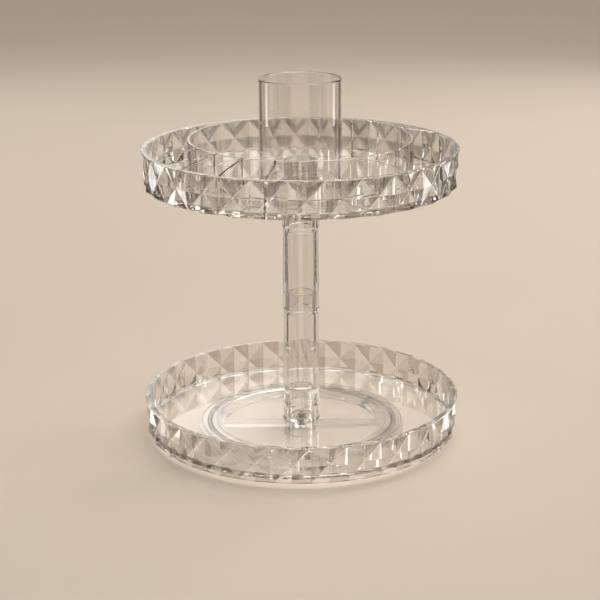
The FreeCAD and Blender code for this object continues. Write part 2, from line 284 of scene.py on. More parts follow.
@dataclass(frozen=True)
class EdgeBreak:
    """Small rounding that a mould leaves on creased edges."""

    width: float = 0.0012
    segments: int = 3

    def add(self, piece: bpy.types.Object) -> None:
        """Adds the bevel."""
        bevel = piece.modifiers.new("edge break", "BEVEL")
        bevel.limit_method = "WEIGHT"
        bevel.width = self.width
        bevel.segments = self.segments
        bevel.use_clamp_overlap = False


def make_piece(
    name: str,
    draft: MeshDraft,
    body: Body,
    material: bpy.types.Material,
    edge_break: EdgeBreak | None = None,
) -> bpy.types.Object:
    """Turns a draft into a piece that stands for the node of the same purpose.

    Args:
        name: Name of the node that the piece replaces; the piece is named after it.
        draft: Points and faces.
        body: Body that the piece rides on.
        material: Finish of the whole piece.
        edge_break: Rounding of the marked edges, if any.

    Returns:
        The piece, at the origin, with its place in its mesh.
    """
    mesh = draft.mesh(name)
    mesh.materials.append(material)
    piece = hang(f"{name}_clear", mesh)
    if edge_break:
        edge_break.add(piece)
    normals = piece.modifiers.new("flat faces", "WEIGHTED_NORMAL")
    normals.mode = "FACE_AREA"
    normals.keep_sharp = True
    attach(piece, body.value)
    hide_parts(name)
    LOG.info("%s: %d faces, rides on %s", piece.name, len(mesh.polygons), body.value)
    return piece


# Shader nodes


class Signal:
    """Output of a shader node that takes part in arithmetic, one Math node for each operation."""

    def __init__(self, tree: bpy.types.NodeTree, socket: bpy.types.NodeSocket) -> None:
        """Wraps a socket of a tree."""
        self.tree = tree
        self.socket = socket

    def _math(self, operation: str, first: Value, second: Value) -> Signal:
        """Adds one Math node and returns its result."""
        node = self.tree.nodes.new("ShaderNodeMath")
        node.operation = operation
        plug(self.tree, node.inputs[0], first)
        plug(self.tree, node.inputs[1], second)
        return Signal(self.tree, node.outputs[0])

    def __add__(self, other: Value) -> Signal:
        """Sum of two values."""
        return self._math("ADD", self, other)

    __radd__ = __add__

    def __rsub__(self, other: Value) -> Signal:
        """Difference with the signal last."""
        return self._math("SUBTRACT", other, self)

    def __mul__(self, other: Value) -> Signal:
        """Product of two values."""
        return self._math("MULTIPLY", self, other)

    __rmul__ = __mul__

    def __pow__(self, other: Value) -> Signal:
        """Power of a value."""
        return self._math("POWER", self, other)


Value = Union[Signal, float]
Input = Union[Signal, float, Sequence[float]]


def plug(tree: bpy.types.NodeTree, socket: bpy.types.NodeSocket, value: Input) -> None:
    """Links a signal to a socket, or sets the socket to a number or a row of numbers."""
    if isinstance(value, Signal):
        tree.links.new(value.socket, socket)
    else:
        socket.default_value = value


class NodeBench:
    """Node tree of a material, a lamp or the world, with one method that adds any node."""

    def __init__(self, tree: bpy.types.NodeTree) -> None:
        """Empties the tree."""
        self.tree = tree
        tree.nodes.clear()

    def add(self, kind: str, settings: Mapping[str, object] | None = None,
            inputs: Mapping[str, Input] | None = None, shaders: Sequence[Signal] = ()) -> dict[str, Signal]:
        """Adds one node.

        Args:
            kind: Node type without its ShaderNode prefix.
            settings: Properties of the node, set before its sockets; stops are the stops of a ramp.
            inputs: Numbers, rows of numbers or signals, by socket name.
            shaders: Shaders that go into the sockets of a mix in order.

        Returns:
            The node's outputs by name.
        """
        node = self.tree.nodes.new(f"ShaderNode{kind}")
        for key, value in (settings or {}).items():
            if key == "stops":
                self._set_stops(node.color_ramp, value)
            else:
                setattr(node, key, value)
        for key, value in (inputs or {}).items():
            socket = next(s for s in node.inputs if s.name == key and s.enabled)
            plug(self.tree, socket, value)
        for socket, shader in zip((s for s in node.inputs if s.type == "SHADER"), shaders):
            plug(self.tree, socket, shader)
        return {s.name: Signal(self.tree, s) for s in node.outputs if s.enabled}

    def noise(self, scale: float, detail: float) -> Signal:
        """Noise on the piece's own coordinates."""
        place = self.add("TexCoord")["Object"]
        return self.add("TexNoise", inputs={"Vector": place, "Scale": scale, "Detail": detail})["Fac"]

    def blend(self, share: Signal, first: Input, second: Input) -> Signal:
        """Colour that goes from the first to the second with the share."""
        inputs = {"Factor": share, "A": first, "B": second}
        return self.add("Mix", {"data_type": "RGBA"}, inputs)["Result"]

    @staticmethod
    def _set_stops(ramp: bpy.types.ColorRamp, stops: Sequence[tuple[float, Colour]]) -> None:
        """Gives a ramp its stops, each a place and a colour."""
        while len(ramp.elements) < len(stops):
            ramp.elements.new(1.0)
        for element, (place, colour) in zip(ramp.elements, stops):
            element.position = place
            element.color = opaque(colour)


def opaque(colour: Colour) -> tuple[float, float, float, float]:
    """Colour with full alpha."""
    return (*colour, 1.0)


def new_material(name: str) -> tuple[bpy.types.Material, NodeBench]:
    """Starts a material and returns it with its empty bench."""
    material = bpy.data.materials.new(name)
    material.use_nodes = True
    return material, NodeBench(material.node_tree)


def hang(name: str, data: bpy.types.ID) -> bpy.types.Object:
    """Puts a mesh, a lamp or a camera into the scene."""
    thing = bpy.data.objects.new(name, data)
    bpy.context.scene.collection.objects.link(thing)
    return thing


# Finishes


@dataclass(frozen=True)
class ClearPlastic:
    """Moulded clear plastic: faint flow marks, a little haze from handling and a trace of tint, with painted
    shade on the faces marked for it.
    """

    name: str
    tint: Colour = (0.985, 0.98, 0.975)
    deep_tint: Colour = (0.965, 0.955, 0.945)
    # Colour of the painted shade on marked faces, not a colour of the plastic.
    painted_shade_colour: Colour = (0.46, 0.40, 0.35)
    refraction: float = 1.57
    haze: float = 0.035
    haze_scale: float = 55.0
    haze_detail: float = 3.0
    haze_power: float = 3.0
    flow_scale: float = 70.0
    flow_detail: float = 1.0
    flow_depth: float = 0.00003
    flow_strength: float = 0.12
    lamp_share: float = 0.92
    rim_shade: float = 0.85
    rim_power: float = 3.0
    body_colour: Colour = (0.60, 0.50, 0.42)
    body_density: float = 5.0

    def material(self) -> bpy.types.Material:
        """Builds the material.

        Returns:
            Transmitting shader whose tint, roughness and normal vary over the piece, on a body that takes up
            a little light.  Faces marked with a share of painted shade are darkened towards the painted shade
            colour.
            It lets the light of lamps through, less where the surface is edge on to it.
        """
        material, bench = new_material(self.name)
        cloud = bench.noise(self.haze_scale, self.haze_detail)
        flow = bench.noise(self.flow_scale, self.flow_detail)
        tint = bench.blend(cloud, opaque(self.tint), opaque(self.deep_tint))
        # Painted shade: faces marked by the way they face, flute hollows and edge dashes are darkened towards
        # the painted shade colour.
        painted_shade_mask = bench.add("Attribute", {"attribute_name": PAINTED_SHADE})["Fac"]
        tint = bench.blend(painted_shade_mask, tint, opaque(self.painted_shade_colour))
        ripple = bench.add(
            "Bump",
            inputs={"Strength": self.flow_strength, "Distance": self.flow_depth, "Height": flow},
        )["Normal"]
        shader = bench.add(
            "BsdfPrincipled",
            inputs={
                "Base Color": tint,
                "Roughness": self.haze * cloud ** self.haze_power,
                "IOR": self.refraction,
                "Transmission Weight": 1.0,
                "Normal": ripple,
            },
        )["BSDF"]
        edge_on = bench.add("LayerWeight")["Facing"]
        to_lamp = bench.add("LightPath")["Is Shadow Ray"]
        lamp_light = bench.add("BsdfTransparent")["BSDF"]
        surface = bench.add(
            "MixShader",
            inputs={"Fac": to_lamp * (self.lamp_share - self.rim_shade * edge_on ** self.rim_power)},
            shaders=(shader, lamp_light),
        )["Shader"]
        body = bench.add(
            "VolumeAbsorption",
            inputs={"Color": opaque(self.body_colour), "Density": self.body_density},
        )["Volume"]
        bench.add("OutputMaterial", inputs={"Surface": surface, "Volume": body})
        return material


@dataclass(frozen=True)
class SoftPad:
    """Clear silicone: cloudy, with a dull skin."""

    name: str
    tint: Colour = (0.86, 0.85, 0.83)
    dusty: Colour = (0.74, 0.73, 0.71)
    roughness: float = 0.35
    spread: float = 0.2
    grain_scale: float = 900.0
    grain_detail: float = 4.0
    refraction: float = 1.41
    clearness: float = 0.7

    def material(self) -> bpy.types.Material:
        """Builds the material."""
        material, bench = new_material(self.name)
        grain = bench.noise(self.grain_scale, self.grain_detail)
        shader = bench.add(
            "BsdfPrincipled",
            inputs={
                "Base Color": bench.blend(grain, opaque(self.tint), opaque(self.dusty)),
                "Roughness": self.roughness + self.spread * grain,
                "IOR": self.refraction,
                "Transmission Weight": self.clearness,
            },
        )["BSDF"]
        bench.add("OutputMaterial", inputs={"Surface": shader})
        return material


@dataclass(frozen=True)
class Steel:
    """Machined steel with fine turning marks and slightly stained hollows."""

    name: str
    bright: Colour = (0.62, 0.60, 0.58)
    stained: Colour = (0.44, 0.42, 0.40)
    roughness: float = 0.12
    spread: float = 0.2
    grain_scale: float = 1400.0
    grain_detail: float = 5.0
    grain_depth: float = 0.00002
    grain_strength: float = 0.3

    def material(self) -> bpy.types.Material:
        """Builds the material."""
        material, bench = new_material(self.name)
        grain = bench.noise(self.grain_scale, self.grain_detail)
        marks = bench.add(
            "Bump",
            inputs={"Strength": self.grain_strength, "Distance": self.grain_depth, "Height": grain},
        )["Normal"]
        shader = bench.add(
            "BsdfPrincipled",
            inputs={
                "Base Color": bench.blend(grain, opaque(self.bright), opaque(self.stained)),
                "Metallic": 1.0,
                "Roughness": self.roughness + self.spread * grain,
                "Normal": marks,
            },
        )["BSDF"]
        bench.add("OutputMaterial", inputs={"Surface": shader})
        return material


# Sub-assemblies


@dataclass(frozen=True)
class PushFit:
    """Sizes of the spigot and socket joints that hold the column together."""

    foot_radius: float = 0.0137
    top_radius: float = 0.0128
    bore_radius: float = 0.0097
    spigot_radius: float = 0.0102
    spigot_bore: float = 0.0087
    spigot_height: float = 0.0131
    shoulder: float = 0.0030
    socket_radius: float = 0.01035
    socket_depth: float = 0.0136
    seam_rounding: float = 0.0005
    lip_rounding: float = 0.0002


@dataclass(frozen=True)
class FacetBand:
    """Lattice of pyramids on the outside of a tray.

    The band is a chessboard of points, three levels high, whose radius alternates between the pyramid points
    and the valleys and tapers downwards.  Each cell is folded along the diagonal that joins its two valley
    corners.
    """

    radius: float
    low: float
    high: float
    phase: float
    depth: float = 0.0020
    taper: float = 0.0007
    count: int = 28
    valley_share: float = 0.5
    ridge_share: float = 0.12
    # Shares of painted shade: in all, for facets that look sideways and for those that look down.
    painted_shade_share: float = 1.0
    sideways_painted_shade: float = 0.7
    downward_painted_shade: float = 0.3

    def turns(self) -> Array:
        """Angles of the chessboard's columns."""
        return even_turns(2 * self.count, self.phase)

    def add(self, draft: MeshDraft) -> Array:
        """Adds the folded cells and marks their edges.

        Args:
            draft: Draft that takes the band.

        Returns:
            Indices of the points, one row for each column of the chessboard, lower edge first.
        """
        columns = np.arange(2 * self.count)[:, None]
        levels = np.arange(3)[None, :]
        proud = (columns + levels) % 2 == 0
        points_at = np.linspace(self.radius - self.taper, self.radius, 3)
        radius = np.where(proud, points_at, points_at - self.depth)
        angle = np.broadcast_to(self.turns()[:, None], radius.shape)
        height = np.broadcast_to(np.linspace(self.low, self.high, 3), radius.shape)
        points = np.stack([radius * np.cos(angle), radius * np.sin(angle), height], axis=-1)
        index = draft.add_points(points)
        right = np.roll(index, -1, axis=0)
        for level in range(2):
            above = level + 1
            cells = np.stack([index[:, level], right[:, level], right[:, above], index[:, above]], axis=-1)
            from_second = proud[:, level]
            cells[from_second] = np.roll(cells[from_second], -1, axis=1)
            for corners in ([0, 1, 2], [0, 2, 3]):
                facets = cells[:, corners]
                draft.add_faces(facets.tolist(), self.painted_shades(points.reshape(-1, 3)[facets - index[0, 0]]))
            draft.crease(cells[:, 0], cells[:, 2], self.valley_share)
            draft.crease(index[:, level], index[:, above], self.ridge_share)
        draft.crease(index[:, 1], right[:, 1], self.ridge_share)
        draft.crease(index[:, 0], right[:, 0])
        return index

    def painted_shades(self, corners: Array) -> list[float]:
        """Shares of painted shade, by the way they face: most for facets that look to the right, more for
        those that look down.

        Args:
            corners: Three corners of each facet.

        Returns:
            Shares between 0 and 1.
        """
        normal = np.cross(corners[:, 1] - corners[:, 0], corners[:, 2] - corners[:, 0])
        middle = corners.mean(axis=1)
        sideways = normal[:, 1] * middle[:, 0] - normal[:, 0] * middle[:, 1]
        # Painted shade by the way each of them faces, not a colour of the plastic.
        tint = self.sideways_painted_shade * (sideways > 0.0) + self.downward_painted_shade * (normal[:, 2] < 0.0)
        return (self.painted_shade_share * tint).tolist()

    def close(self, draft: MeshDraft, edge: Array, circle: Array, turns: Array, flipped: bool = False,
              painted_dark_dashes: bool = False) -> None:
        """Closes the flat ring between an edge of the band and a circle at the same height.

        Each chord of the edge gets one face, whose other side follows the circle's points nearest to the
        chord's ends.  The faces look down if the circle lies outside the edge, and up if it lies inside.

        Args:
            draft: Draft that takes the faces.
            edge: Indices along the edge of the band.
            circle: Indices along the circle.
            turns: Angles of the circle's points, rising from the first one by less than a turn.
            flipped: Whether the faces look the other way.
            painted_dark_dashes: Whether every other face takes the whole painted shade, as dark dashes along
                the edge.
        """
        ends = np.append(self.turns(), self.phase + FULL_TURN)
        laps = np.concatenate([turns - FULL_TURN, turns, turns + FULL_TURN])
        nearest = np.abs(laps[None, :] - ends[:, None]).argmin(axis=1)
        around = np.tile(circle, 3)
        chords = np.append(edge, edge[0])
        faces = [
            [chords[i], chords[i + 1], *around[nearest[i]:nearest[i + 1] + 1][::-1]]
            for i in range(len(edge))
        ]
        # Painted shade: every other face of the ring darkened, so that dark dashes run along the edge.
        painted_shades = np.where(np.arange(len(faces)) % 2 == 0, float(painted_dark_dashes), 0.0)
        draft.add_faces([face[::-1] for face in faces] if flipped else faces, painted_shades.tolist())


@dataclass(frozen=True)
class TrayWall:
    """Sizes that the faceted walls of both trays share."""

    flange: float = 0.0008
    flange_reach: float = 0.0002
    facet_depth: float = 0.0020
    thickness: float = 0.0020
    height: float = 0.0271

    def face(self, radius: float) -> float:
        """Radius of the inside of a wall whose rim has the given radius."""
        return radius - self.flange_reach - self.facet_depth - self.thickness

    def band(self, radius: float, edge: float, phase: float, painted_shade_share: float = 1.0) -> FacetBand:
        """Facets of a wall whose lower edge is at the given height, with the given share of painted shade."""
        top = edge + self.height - self.flange
        reach = radius - self.flange_reach
        return FacetBand(reach, edge, top, phase, self.facet_depth, painted_shade_share=painted_shade_share)


@dataclass
class LowerTray:
    """Faceted tray with the upper ball race below its floor, and the boss and spigot of the column."""

    finish: bpy.types.Material
    fit: PushFit = PushFit()
    wall: TrayWall = TrayWall()
    radius: float = 0.1172
    facet_phase: float = math.radians(-93.5)
    floor: float = 0.0026
    skirt: float = 0.0028
    boss_height: float = 0.0115
    corner: float = 0.0015
    lip: float = 0.0006
    pivot_hole: float = 0.00208
    race_circle: float = 0.0695
    race_rib_width: float = 0.0115
    race_depth: float = 0.0012
    race_tube: float = 0.00215
    race_backing: float = 0.0003
    race_steps: int = 8
    stations: int = 224

    def profile(self, edge: float) -> Array:
        """Section of all but the facets, from the rim inwards, down the pivot hole and out to the skirt.

        Args:
            edge: Height of the lower edge.

        Returns:
            Rows of (radius, height).
        """
        fit = self.fit
        inner = self.wall.face(self.radius)
        rim = edge + self.wall.height
        under = edge + self.skirt
        top = under + self.floor
        boss = top + self.boss_height
        tip = boss + fit.spigot_height
        rib = under - self.race_depth - self.race_backing
        rib_in = self.race_circle - self.race_rib_width / 2.0
        rib_out = self.race_circle + self.race_rib_width / 2.0
        ball = rib + self.race_depth - self.race_tube
        reach = math.asin((rib - ball) / self.race_tube)
        middle = (self.race_circle, ball)
        groove = arc_corners(middle, self.race_tube, math.pi - reach, reach, self.race_steps)
        soft = fit.lip_rounding
        return rounded_outline([
            (self.radius, rim - self.wall.flange, 0.0),
            (self.radius, rim, self.lip),
            (inner, rim, self.lip),
            (inner, top, self.corner),
            (fit.foot_radius, top, self.lip),
            (fit.top_radius, boss, fit.seam_rounding),
            (fit.spigot_radius, boss, soft),
            (fit.spigot_radius, tip, self.lip),
            (fit.spigot_bore, tip, self.lip),
            (fit.spigot_bore, top, self.lip),
            (self.pivot_hole, top, soft),
            (self.pivot_hole, under, soft),
            (rib_in, under, soft),
            (rib_in, rib, soft),
            *groove,
            (rib_out, rib, soft),
            (rib_out, under, soft),
            (inner, under, self.lip),
            (inner, edge, self.lip),
            (inner + 2.0 * self.lip, edge, 0.0),
        ])

    def build(self) -> bpy.types.Object:
        """Builds the tray.

        Returns:
            The piece.
        """
        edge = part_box("lower_tray")[0].z
        band = self.wall.band(self.radius, edge, self.facet_phase)
        turns = even_turns(self.stations, self.facet_phase)
        draft = MeshDraft()
        outside = band.add(draft)
        inside = draft.add_grid(carried_round(self.profile(edge), turns), close_rows=True)
        band.close(draft, outside[:, 2], inside[:, 0], turns)
        # The lower edge of the wall carries painted dark dashes.
        band.close(draft, outside[:, 0], inside[:, -1], turns, flipped=True, painted_dark_dashes=True)
        return make_piece("lower_tray", draft, Body.CAROUSEL, self.finish, EdgeBreak())


@dataclass
class Column:
    """Push-fit tubes between the trays, each with a socket below and a spigot on its upper shoulder."""

    finish: bpy.types.Material
    fit: PushFit = PushFit()
    stations: int = 120

    def tube(self, node: str) -> bpy.types.Object:
        """Builds one tube over the height of its node.

        Args:
            node: Name of the node.

        Returns:
            The piece.
        """
        fit = self.fit
        low_corner, high_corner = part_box(node)
        low = low_corner.z
        tip = high_corner.z
        seat = tip - fit.spigot_height
        soft = fit.lip_rounding
        outline = rounded_outline([
            (fit.foot_radius, low, fit.seam_rounding),
            (fit.top_radius, seat, fit.seam_rounding),
            (fit.spigot_radius, seat, soft),
            (fit.spigot_radius, tip, 2.0 * soft),
            (fit.spigot_bore, tip, 2.0 * soft),
            (fit.spigot_bore, seat - fit.shoulder, soft),
            (fit.bore_radius, seat - fit.shoulder, soft),
            (fit.bore_radius, low + fit.socket_depth, soft),
            (fit.socket_radius, low + fit.socket_depth, soft),
            (fit.socket_radius, low, soft),
        ], closed=True)
        draft = MeshDraft()
        rings = carried_round(outline, even_turns(self.stations))
        draft.add_grid(rings, close_rows=True, close_columns=True)
        return make_piece(node, draft, Body.CAROUSEL, self.finish)

    def build(self) -> list[bpy.types.Object]:
        """Builds both tubes."""
        return [self.tube(node) for node in ("lower_column_tube", "upper_column_tube")]


@dataclass
class UpperTray:
    """Faceted tray with an inner ring, dividers, a rib that centres the cup, and the column's collar."""

    finish: bpy.types.Material
    fit: PushFit = PushFit()
    wall: TrayWall = TrayWall()
    radius: float = 0.1144
    # This tray's facets take a smaller share of the painted shade.
    upper_painted_shade_share: float = 0.68
    facet_phase: float = math.radians(-88.0)
    floor: float = 0.0036
    ring_radius: float = 0.0805
    ring_wall: float = 0.0022
    divider_wall: float = 0.0020
    divider_start: float = math.radians(26.0)
    divider_step: float = math.radians(17.3)
    dividers_per_group: int = 4
    divider_groups: int = 2
    collar_length: float = 0.0324
    collar_top: float = 0.0142
    cup_rib_radius: float = 0.0274
    cup_rib_wall: float = 0.0014
    cup_rib_height: float = 0.0012
    corner: float = 0.0015
    lip: float = 0.0004
    inner_share: float = 0.5
    stations: int = 224
    station_room: float = 0.8

    def wall_face(self) -> float:
        """Radius of the inside of the tray wall."""
        return self.wall.face(self.radius)

    def ring_faces(self) -> Span:
        """Radii of the inside and the outside of the inner ring."""
        return self.ring_radius - self.ring_wall / 2.0, self.ring_radius + self.ring_wall / 2.0

    def flange_profile(self, rim: float) -> Array:
        """Section of the rim, from the underside of its flange up and in to the tray wall."""
        return rounded_outline([
            (self.radius, rim - self.wall.flange, 0.0),
            (self.radius, rim, self.lip),
            (self.wall_face(), rim, 0.0),
        ])

    def divider_turns(self) -> Array:
        """Angles of the dividers, in opposite groups."""
        groups = even_turns(self.divider_groups)
        steps = self.divider_start + self.divider_step * np.arange(self.dividers_per_group)
        return np.sort((groups[:, None] + steps[None, :]).ravel() % FULL_TURN)

    def station_turns(self) -> tuple[Array, Array]:
        """Angles round the tray, with both faces of each divider among them.

        Returns:
            Rising angles, and for each the side of a divider that it follows: -1, +1, or 0 for none.
        """
        dividers = self.divider_turns()
        plain = np.sort(even_turns(self.stations, self.facet_phase) % FULL_TURN)
        gap = np.abs(plain[:, None] - dividers[None, :]).min(axis=1)
        plain = plain[gap > FULL_TURN / self.stations * self.station_room]
        turns = np.concatenate([plain, dividers, dividers])
        sides = np.repeat([0.0, -1.0, 1.0], [len(plain), len(dividers), len(dividers)])
        order = np.lexsort((sides, turns))
        return turns[order], sides[order]

    def swept(self, profile: Array, turns: Array, sides: Array) -> Array:
        """Profile carried round the axis, with divider faces kept parallel.

        A divider face at radius r lies at the divider's angle plus or minus the arcsine of half its wall over
        r.  Inside the ring the angle stays as it is at the ring.
        """
        _, ring_out = self.ring_faces()
        lean = np.arcsin(self.divider_wall / 2.0 / np.maximum(profile[:, 0], ring_out))
        return carried_round(profile, turns[:, None] + sides[:, None] * lean[None, :])

    def core_profile(self, edge: float, ring_top: float) -> Array:
        """Section inside the ring: ring top, tray floor, cup rib, bore, collar and the underside."""
        fit = self.fit
        top = edge + self.floor
        foot = edge - self.collar_length
        ring_in, ring_out = self.ring_faces()
        rib_in = self.cup_rib_radius - self.cup_rib_wall
        rib_top = top + self.cup_rib_height
        soft = fit.lip_rounding
        return rounded_outline([
            (ring_out, ring_top, 0.0),
            (ring_in, ring_top, self.lip),
            (ring_in, top, self.lip),
            (self.cup_rib_radius, top, soft),
            (self.cup_rib_radius, rib_top, self.lip),
            (rib_in, rib_top, self.lip),
            (rib_in, top, soft),
            (fit.bore_radius, top, soft),
            (fit.bore_radius, foot + fit.socket_depth, soft),
            (fit.socket_radius, foot + fit.socket_depth, soft),
            (fit.socket_radius, foot, soft),
            (fit.foot_radius, foot, fit.seam_rounding),
            (self.collar_top, edge, 2.0 * self.lip),
            (self.wall_face(), edge, 0.0),
        ])

    def slot_profile(self, edge: float, rim: float, ring_top: float) -> Array:
        """Section of a compartment: down the tray wall, along the floor and up the ring."""
        top = edge + self.floor
        wall_face = self.wall_face()
        _, ring_out = self.ring_faces()
        return rounded_outline([
            (wall_face, rim, 0.0),
            (wall_face, top, self.corner),
            (ring_out, top, self.lip),
            (ring_out, ring_top, 0.0),
        ])

    def build(self) -> bpy.types.Object:
        """Builds the tray.

        Returns:
            The piece.
        """
        low_corner, high_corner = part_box("upper_tray")
        edge = low_corner.z + self.collar_length
        rim = edge + self.wall.height
        ring_top = high_corner.z
        band = self.wall.band(self.radius, edge, self.facet_phase, self.upper_painted_shade_share)
        turns, sides = self.station_turns()
        draft = MeshDraft()
        outside = band.add(draft)
        core_rings = self.swept(self.core_profile(edge, ring_top), turns, sides)
        core = draft.add_grid(core_rings, close_rows=True)
        slots = draft.add_points(self.swept(self.slot_profile(edge, rim, ring_top), turns, sides))
        after = np.roll(slots, -1, axis=0)
        on_divider = sides < 0.0
        open_cell = ~on_divider
        quads = np.stack([slots[:, :-1], after[:, :-1], after[:, 1:], slots[:, 1:]], axis=-1)
        draft.add_faces(quads[open_cell].reshape(-1, 4).tolist())
        tops = np.stack([slots[:, 0], after[:, 0], after[:, -1], slots[:, -1]], axis=-1)
        draft.add_faces(tops[on_divider].tolist())
        draft.add_faces(slots[sides > 0.0].tolist())
        draft.add_faces(slots[on_divider][:, ::-1].tolist())
        for column in (0, -1):
            draft.crease(slots[open_cell, column], after[open_cell, column], self.inner_share)
        draft.crease(slots[sides != 0.0, 0], slots[sides != 0.0, -1], self.inner_share)
        flange = draft.add_grid(self.swept(self.flange_profile(rim), turns, sides), close_rows=True)
        half_wall = self.divider_wall / 2.0
        outer_turns = turns + sides * math.asin(half_wall / self.radius)
        inner_turns = turns + sides * math.asin(half_wall / self.wall_face())
        band.close(draft, outside[:, 2], flange[:, 0], outer_turns)
        # The lower edge of the wall carries painted dark dashes.
        band.close(draft, outside[:, 0], core[:, -1], inner_turns, flipped=True, painted_dark_dashes=True)
        return make_piece("upper_tray", draft, Body.CAROUSEL, self.finish, EdgeBreak())


@dataclass
class HubCap:
    """Fluted hollow cap whose plug closes the top of the collar."""

    finish: bpy.types.Material
    fit: PushFit = PushFit()
    radius: float = 0.0122
    height: float = 0.0142
    roof: float = 0.0022
    plug_play: float = 0.00015
    plug_wall: float = 0.0018
    edge_rounding: float = 0.0010
    flutes: int = 18
    flute_radius: float = 0.0014
    flute_depth: float = 0.0006
    stations_per_flute: int = 16

    def flute_cut(self, turns: Array) -> Array:
        """How far the flutes cut in at each angle.

        A flute is a cylinder whose axis lies outside the cap.  At an angle t from its middle, the ray from
        the pivot meets it at a cos t minus the root of f squared minus a squared sin squared t, for an axis
        at a and a flute radius f.
        """
        axis = self.radius + self.flute_radius - self.flute_depth
        pitch = FULL_TURN / self.flutes
        off = (turns + pitch / 2.0) % pitch - pitch / 2.0
        under_root = np.maximum(self.flute_radius ** 2 - (axis * np.sin(off)) ** 2, 0.0)
        near = np.where(under_root > 0.0, axis * np.cos(off) - np.sqrt(under_root), self.radius)
        return np.maximum(self.radius - near, 0.0)

    def build(self) -> bpy.types.Object:
        """Builds the cap, whose flutes take painted shade with the square of their depth, as dark stripes.

        Returns:
            The piece.
        """
        low_corner, high_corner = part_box("hub_cap")
        high = high_corner.z
        seat = high - self.height
        plug = self.fit.bore_radius - self.plug_play
        core = plug - self.plug_wall
        soft = self.fit.lip_rounding
        outline = rounded_outline([
            (0.0, high - self.roof, 0.0),
            (core, high - self.roof, 2.0 * soft),
            (core, low_corner.z, soft),
            (plug, low_corner.z, soft),
            (plug, seat, soft),
            (self.radius, seat, soft),
            (self.radius, high, self.edge_rounding),
            (0.0, high, 0.0),
        ])
        turns = even_turns(self.flutes * self.stations_per_flute)
        points = carried_round(outline, turns)
        reach = np.linalg.norm(points[..., :2], axis=-1)
        cut = self.flute_cut(turns)
        cut_share = np.clip((reach - plug) / (self.radius - self.edge_rounding - plug), 0.0, 1.0)
        shrink = 1.0 - cut[:, None] * cut_share / np.maximum(reach, WELD_LENGTH)
        points[..., :2] *= shrink[..., None]
        # Painted shade: dark stripes along the flute hollows, strongest where they cut deepest.
        depth = (cut + np.roll(cut, -1)) / 2.0 / self.flute_depth
        painted_shades = (depth ** 2)[:, None] * (cut_share[:, 1:] * cut_share[:, :-1])
        draft = MeshDraft()
        draft.add_grid(points, close_rows=True, painted_shades=painted_shades)
        return make_piece("hub_cap", draft, Body.CAROUSEL, self.finish)


@dataclass
class BrushCup:
    """Open tube with rounded edges that stands round the hub cap."""

    finish: bpy.types.Material
    wall: float = 0.0022
    edge_rounding: float = 0.0008
    stations: int = 168

    def build(self) -> bpy.types.Object:
        """Builds the cup.

        Returns:
            The piece.
        """
        low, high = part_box("brush_cup")
        radius = high.x
        outline = rounded_outline([
            (radius, low.z, self.edge_rounding),
            (radius, high.z, self.edge_rounding),
            (radius - self.wall, high.z, self.edge_rounding),
            (radius - self.wall, low.z, self.edge_rounding),
        ], closed=True)
        draft = MeshDraft()
        rings = carried_round(outline, even_turns(self.stations))
        draft.add_grid(rings, close_rows=True, close_columns=True)
        return make_piece("brush_cup", draft, Body.CUP, self.finish)


@dataclass
class Turntable:
    """Base ring with its pads, ball bearing, screw and washer: the frame's solids in their finishes."""

    plastic: bpy.types.Material
    pads: bpy.types.Material
    balls: bpy.types.Material
    screw: bpy.types.Material
    washer: bpy.types.Material

    def build(self) -> list[bpy.types.Object]:
        """Dresses the nodes.

        Returns:
            The dressed objects.
        """
        finishes = {
            "turntable_base": self.plastic,
            "ball_cage": self.plastic,
            "foot_pads": self.pads,
            "bearing_balls": self.balls,
            "pivot_screw": self.screw,
            "pivot_washer": self.washer,
        }
        for node, finish in finishes.items():
            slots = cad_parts[node].data.materials
            slots.clear()
            slots.append(finish)
            LOG.info("%s: keeps its solid, dressed in %s", node, finish.name)
        return [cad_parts[node] for node in finishes]


# Stage, light and camera


@dataclass(frozen=True)
class SoftBox:
    """Rectangular lamp with soft edges that looks at a point."""

    name: str
    place: Place
    width: float
    height: float
    power: float
    colour: Colour
    only_reflected: bool = False
    middle_gain: float = 1.62

    def soften(self, light: bpy.types.Light) -> None:
        """Dims the lamp to its edges: the root of 4u(1 - u) times 4v(1 - v), for u across and v along."""
        light.use_nodes = True
        bench = NodeBench(light.node_tree)
        spot = bench.add("NewGeometry")["Parametric"]
        axes = bench.add("SeparateXYZ", inputs={"Vector": spot})
        across, along = axes["X"], axes["Y"]
        level = (4.0 * across * (1.0 - across) * (4.0 * along * (1.0 - along))) ** 0.5
        glow = bench.add("Emission", inputs={"Strength": self.middle_gain * level})["Emission"]
        bench.add("OutputLight", inputs={"Surface": glow})

    def build(self, target: Vector) -> bpy.types.Object:
        """Hangs the lamp and turns it to the target."""
        light = bpy.data.lights.new(self.name, "AREA")
        light.shape = "RECTANGLE"
        light.size = self.width
        light.size_y = self.height
        light.energy = self.power
        light.color = self.colour
        self.soften(light)
        lamp = hang(self.name, light)
        lamp.location = self.place
        lamp.rotation_euler = (target - lamp.location).to_track_quat("-Z", "Y").to_euler()
        lamp.visible_camera = False
        lamp.visible_diffuse = not self.only_reflected
        lamp.visible_transmission = not self.only_reflected
        return lamp


@dataclass(frozen=True)
class SoftSky:
    """Wide even light from one side of the sky."""

    name: str
    towards: Place
    spread: float
    power: float
    colour: Colour

    def build(self) -> bpy.types.Object:
        """Hangs the light so that it shines from the given direction."""
        light = bpy.data.lights.new(self.name, "SUN")
        light.angle = self.spread
        light.energy = self.power
        light.color = self.colour
        lamp = hang(self.name, light)
        lamp.rotation_euler = Vector(self.towards).to_track_quat("Z", "Y").to_euler()
        lamp.visible_camera = False
        return lamp


